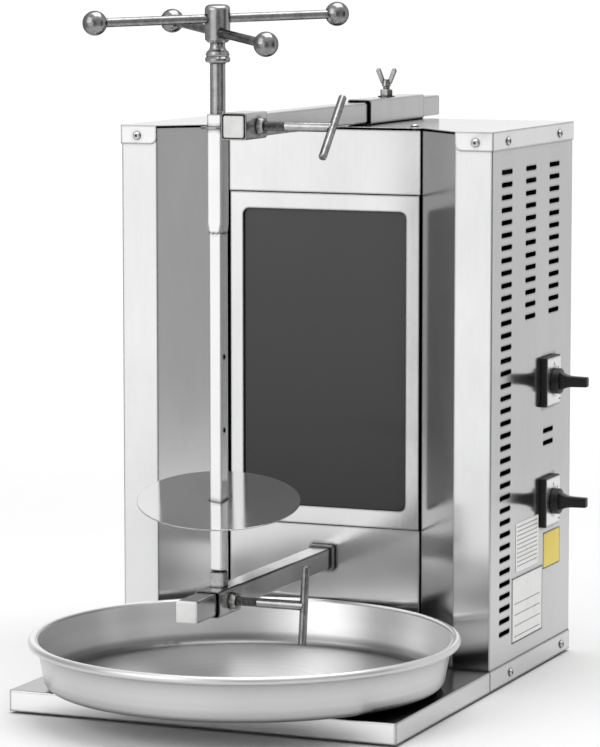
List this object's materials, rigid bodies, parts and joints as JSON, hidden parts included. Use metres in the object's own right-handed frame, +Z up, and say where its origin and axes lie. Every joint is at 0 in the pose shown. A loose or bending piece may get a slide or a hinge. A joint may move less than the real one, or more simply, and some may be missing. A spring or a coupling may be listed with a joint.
{
  "type": "vertical rotisserie broiler",
  "caption": "Countertop vertical rotisserie broiler: folded steel cabinet with a glass-fronted heater between angled mirrors, a hand-turned spindle on sliding arms, and a round drip pan.",
  "frame": {"origin": "on the worktop, at the middle of the four feet; the base above them reaches 0.235 m to each side, 0.295 m to the front and 0.301 m to the back", "axes": "+Z up along the spindle, -Y towards the cook at the front, +X towards the side with the two switches"},
  "size_m": [0.5248, 0.7787, 0.8025],
  "materials": {
    "cabinet_steel": "satin brushed stainless sheet",
    "mirror_steel": "polished stainless sheet",
    "tube_steel": "fine brushed square tube",
    "bright_steel": "bright drawn bar",
    "turned_steel": "turned steel",
    "zinc_hardware": "plated fasteners",
    "pan_aluminium": "spun aluminium, circular brushing",
    "dark_glass": "dark glass ceramic",
    "seal_fibre": "woven fibre seal",
    "galvanised": "galvanised sheet",
    "element_alloy": "oxidised tubular element",
    "insulation": "pressed fibre board",
    "black_plastic": "moulded black plastic",
    "white_plastic": "moulded light plastic",
    "switch_face": "plain satin face plate",
    "blank_label": "blank film plates",
    "foot_rubber": "black rubber"
  },
  "bodies": {
    "cabinet": {"base_tray": "cabinet_steel", "cabinet_base": "cabinet_steel", "base_channels": "galvanised", "rubber_feet": "foot_rubber", "pan_rails": "pan_aluminium", "right_side_panel": "cabinet_steel", "left_side_panel": "cabinet_steel", "right_reflector": "mirror_steel", "left_reflector": "mirror_steel", "back_panel": "cabinet_steel", "front_top_panel": "cabinet_steel", "glass_frame": "cabinet_steel", "front_lower_panel": "cabinet_steel", "glass_seal": "seal_fibre", "glass_pane": "dark_glass", "heat_box": "galvanised", "heating_element_upper": "element_alloy", "heating_element_lower": "element_alloy", "insulation_board": "insulation", "terminal_block": "white_plastic", "cable_gland": "black_plastic", "top_cover": "cabinet_steel", "lower_socket": "tube_steel", "lower_arm": "tube_steel", "lower_arm_cap": "white_plastic", "arm_bracket": "galvanised", "upper_socket": "tube_steel", "wing_screw_nut": "zinc_hardware", "switch_housings": "black_plastic", "switch_plates": "switch_face", "switch_blocks": "black_plastic", "side_plates": "blank_label", "panel_screws": "zinc_hardware"},
    "upper_arm": {"upper_arm": "tube_steel", "upper_arm_caps": "white_plastic", "upper_collar": "tube_steel", "upper_clamp_nut": "zinc_hardware", "guide_ring": "tube_steel"},
    "upper_clamp_screw": {"upper_clamp_screw": "turned_steel", "upper_clamp_bar": "turned_steel"},
    "lower_collar": {"lower_collar": "tube_steel", "lower_clamp_nut": "zinc_hardware", "pivot_post": "tube_steel"},
    "lower_clamp_screw": {"lower_clamp_screw": "turned_steel", "lower_clamp_bar": "turned_steel"},
    "wing_screw": {"wing_screw": "zinc_hardware"},
    "spindle": {"spindle_bar": "bright_steel", "plate_pin": "turned_steel", "meat_plate": "mirror_steel"},
    "spindle_handle": {"drive_sleeve": "bright_steel", "handle_shaft": "turned_steel", "handle_hub": "turned_steel", "handle_rods": "turned_steel", "handle_balls": "turned_steel"},
    "drip_pan": {"pan_wall": "pan_aluminium", "pan_floor": "pan_aluminium"},
    "knob_upper": {"knob_upper": "black_plastic"},
    "knob_lower": {"knob_lower": "black_plastic"}
  },
  "joints": [
    {"name": "lower_collar_slide", "type": "slide", "parent": "cabinet", "child": "lower_collar", "axis": [0, 1, 0], "range_m": [-0.05, 0.1]},
    {"name": "upper_arm_slide", "type": "slide", "parent": "cabinet", "child": "upper_arm", "axis": [0, 1, 0], "range_m": [-0.05, 0.1]},
    {"name": "spindle_spin", "type": "hinge", "parent": "lower_collar", "child": "spindle", "pos_m": [0, -0.237, 0.17], "axis": [0, 0, 1], "continuous": true},
    {"name": "handle_lift", "type": "slide", "parent": "spindle", "child": "spindle_handle", "axis": [0, 0, 1], "range_m": [0, 0.08]},
    {"name": "upper_clamp_turn", "type": "hinge", "parent": "upper_arm", "child": "upper_clamp_screw", "pos_m": [0.08, -0.225, 0.6673], "axis": [1, 0, 0], "range_deg": [-360, 20]},
    {"name": "lower_clamp_turn", "type": "hinge", "parent": "lower_collar", "child": "lower_clamp_screw", "pos_m": [0.05, -0.239, 0.1377], "axis": [1, 0, 0], "range_deg": [-360, 20]},
    {"name": "wing_screw_turn", "type": "hinge", "parent": "cabinet", "child": "wing_screw", "pos_m": [0.0285, 0.203, 0.69], "axis": [0, 0, 1], "range_deg": [-20, 360]},
    {"name": "pan_slide", "type": "slide", "parent": "cabinet", "child": "drip_pan", "axis": [0, -1, 0], "range_m": [0, 0.1]},
    {"name": "knob_upper_turn", "type": "hinge", "parent": "cabinet", "child": "knob_upper", "pos_m": [0.25, 0.214, 0.3453], "axis": [1, 0, 0], "range_deg": [-120, 0]},
    {"name": "knob_lower_turn", "type": "hinge", "parent": "cabinet", "child": "knob_lower", "pos_m": [0.25, 0.214, 0.1994], "axis": [1, 0, 0], "range_deg": [-120, 0]}
  ],
  "couplings": [
    {"joint": "upper_arm_slide", "follows": "lower_collar_slide", "ratio": 1}
  ]
}
